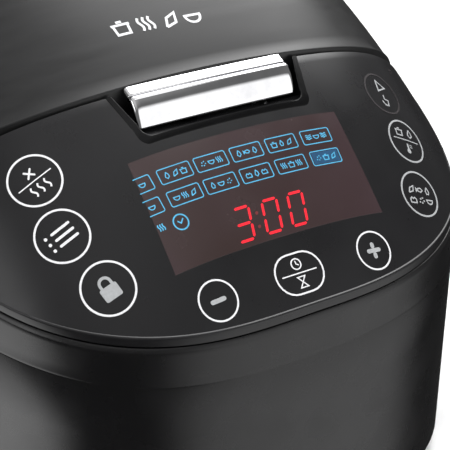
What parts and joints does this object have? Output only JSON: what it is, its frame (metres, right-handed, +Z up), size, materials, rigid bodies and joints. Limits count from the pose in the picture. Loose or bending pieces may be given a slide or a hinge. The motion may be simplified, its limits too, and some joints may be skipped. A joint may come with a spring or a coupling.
{
  "type": "electric multicooker",
  "caption": "Countertop electric multicooker with a domed hinged lid, push latch, sloping touch panel with display, removable pot and lift-out steam valve.",
  "frame": {"origin": "centre of the bounding box, on the plane the feet rest on", "axes": "+Z up, -Y towards the control panel, +X to the right as seen from the panel side"},
  "size_m": [0.2832, 0.3814, 0.2589],
  "materials": {
    "lid_black": "satin near-black moulding with a fine brushed look",
    "panel_black": "satin black",
    "body_black": "satin black",
    "inner_black": "matte",
    "chrome": "mirror plated",
    "smoked_window": "smoked, lit from behind",
    "aluminium": "satin",
    "pot_coating": "dark non-stick coating",
    "steel": "satin",
    "brass": "plain",
    "silicone": "matte, pale",
    "rubber": "matte",
    "board_green": "solder-mask green",
    "component": "matte",
    "clear_plastic": "clear, slightly frosted"
  },
  "bodies": {
    "root": {"control_panel": "panel_black", "base_pan": "body_black", "housing_shell": "body_black", "upper_frame": "body_black", "cup_rail": "body_black", "hinge_bracket_left": "body_black", "hinge_bracket_right": "body_black", "latch_bezel": "inner_black", "power_inlet": "inner_black", "display_window": "smoked_window", "display_module": "component", "processor": "component", "heater_relay": "component", "capacitor": "component", "control_board": "board_green", "power_board": "board_green", "transformer": "steel", "hinge_pin_left": "steel", "hinge_pin_right": "steel", "hinge_spring": "steel", "latch_pin": "steel", "latch_spring": "steel", "heat_shield": "steel", "heating_element": "steel", "plate_standoff_1": "steel", "plate_standoff_2": "steel", "plate_standoff_3": "steel", "sensor_bracket": "steel", "sensor_spring": "steel", "heating_plate": "aluminium", "inner_pot": "pot_coating", "thermal_fuse": "silicone", "foot_front_left": "rubber", "foot_front_right": "rubber", "foot_rear_left": "rubber", "foot_rear_right": "rubber", "inlet_pin_line": "brass", "inlet_pin_earth": "brass", "inlet_pin_neutral": "brass"},
    "latch": {"latch_button": "chrome", "latch_hook": "inner_black"},
    "lid": {"lid_cover": "lid_black", "lid_liner": "inner_black", "inner_lid": "aluminium", "lid_gasket": "silicone", "inner_lid_clip": "silicone", "steam_pipe": "silicone", "hinge_arm_left": "lid_black", "hinge_arm_right": "lid_black"},
    "steam_valve": {"steam_valve_body": "inner_black", "steam_valve_cap": "lid_black"},
    "condensate_cup": {"condensate_cup": "clear_plastic"},
    "sensor": {"sensor_cap": "aluminium"}
  },
  "joints": [
    {"name": "lid_hinge", "type": "hinge", "parent": "root", "child": "lid", "pos_m": [0, 0.1512, 0.1685], "axis": [-1, 0, 0], "range_deg": [0, 80]},
    {"name": "latch_press", "type": "hinge", "parent": "root", "child": "latch", "pos_m": [0, -0.1123, 0.17696], "axis": [1, 0, 0], "range_deg": [0, 7], "stiffness_Nm_per_rad": 0.6, "springref_deg": -8.59, "deforming": ["latch_spring"]},
    {"name": "steam_valve_lift", "type": "slide", "parent": "lid", "child": "steam_valve", "axis": [0, 0, 1], "range_m": [0, 0.045]},
    {"name": "condensate_cup_slide", "type": "slide", "parent": "root", "child": "condensate_cup", "axis": [0, 1, 0], "range_m": [0, 0.05]},
    {"name": "sensor_press", "type": "slide", "parent": "root", "child": "sensor", "axis": [0, 0, -1], "range_m": [0, 0.0015], "stiffness_N_per_m": 1500, "springref_m": -0.001, "deforming": ["sensor_spring"]}
  ]
}
